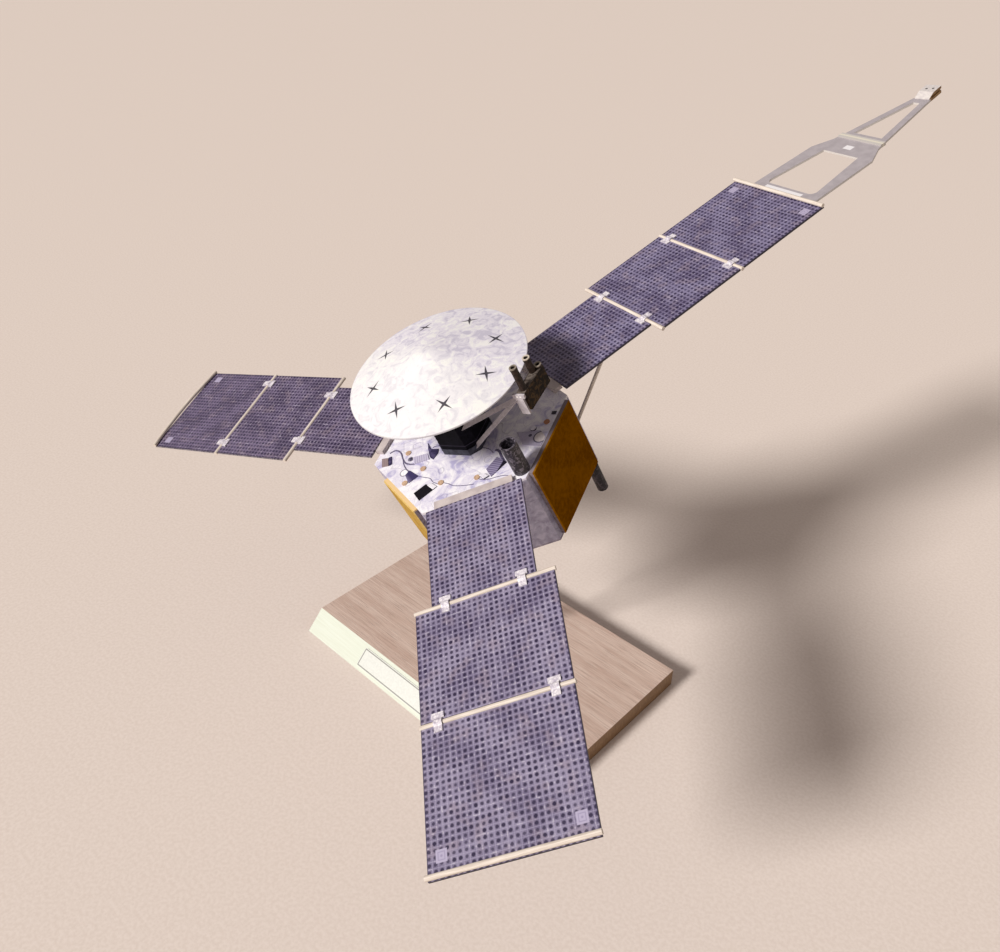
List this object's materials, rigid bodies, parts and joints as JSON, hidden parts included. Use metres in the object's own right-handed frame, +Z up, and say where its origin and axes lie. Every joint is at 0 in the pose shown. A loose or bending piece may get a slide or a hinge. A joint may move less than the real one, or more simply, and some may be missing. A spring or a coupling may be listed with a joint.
{
  "type": "card model of a space probe",
  "caption": "Glued card model of a spinning deep-space probe: foil-covered hexagonal body, dish and jointed solar wings, leaning on a rod above a small wooden base.",
  "frame": {"origin": "middle of the underside of the wooden base, the bevel's foot included", "axes": "+Z up; +X along the long side of the base, to the right when the bevel faces the viewer; -Y towards the side with the bevel and the label"},
  "size_m": [0.339, 0.3968, 0.2552],
  "materials": {
    "base_wood": "satin",
    "foil_print_card": "satin",
    "grey_card": "matte",
    "white_card": "matte",
    "dark_card": "matte",
    "tan_card": "satin",
    "dish_paper": "satin",
    "blank_label": "satin",
    "gold_card": "satin",
    "dowel_wood": "matte",
    "brown_card": "satin",
    "solar_cell_card": "satin",
    "stick_wood": "matte"
  },
  "bodies": {
    "root": {"base_board": "base_wood", "body_walls": "foil_print_card", "boom_fold_strip": "grey_card", "boom_lower_frame": "grey_card", "boom_sensor_box": "white_card", "boom_upper_frame": "grey_card", "bottom_deck": "foil_print_card", "deck_dark_pieces": "dark_card", "deck_discs": "tan_card", "deck_light_pieces": "white_card", "deck_tubes": "foil_print_card", "dish_bowl": "dish_paper", "dish_cover": "dish_paper", "lower_tubes": "foil_print_card", "name_label": "blank_label", "side_panel_left": "gold_card", "side_panel_rear": "gold_card", "side_panel_right": "gold_card", "support_rod": "dowel_wood", "top_deck": "foil_print_card", "tower_right_frame": "dark_card", "tower_right_pod": "brown_card", "tower_right_tubes": "dark_card", "vault_band": "grey_card", "vault_box": "dark_card", "wing_front_clips": "white_card", "wing_front_inner_panel": "solar_cell_card", "wing_front_middle_panel": "solar_cell_card", "wing_front_outer_panel": "solar_cell_card", "wing_front_root_strip": "stick_wood", "wing_front_sticks": "stick_wood", "wing_front_struts": "stick_wood", "wing_left_clips": "white_card", "wing_left_inner_panel": "solar_cell_card", "wing_left_middle_panel": "solar_cell_card", "wing_left_outer_panel": "solar_cell_card", "wing_left_root_strip": "stick_wood", "wing_left_sticks": "stick_wood", "wing_left_struts": "stick_wood", "wing_right_clips": "white_card", "wing_right_inner_panel": "solar_cell_card", "wing_right_middle_panel": "solar_cell_card", "wing_right_outer_panel": "solar_cell_card", "wing_right_root_strip": "stick_wood", "wing_right_sticks": "stick_wood", "wing_right_struts": "stick_wood"}
  },
  "joints": []
}
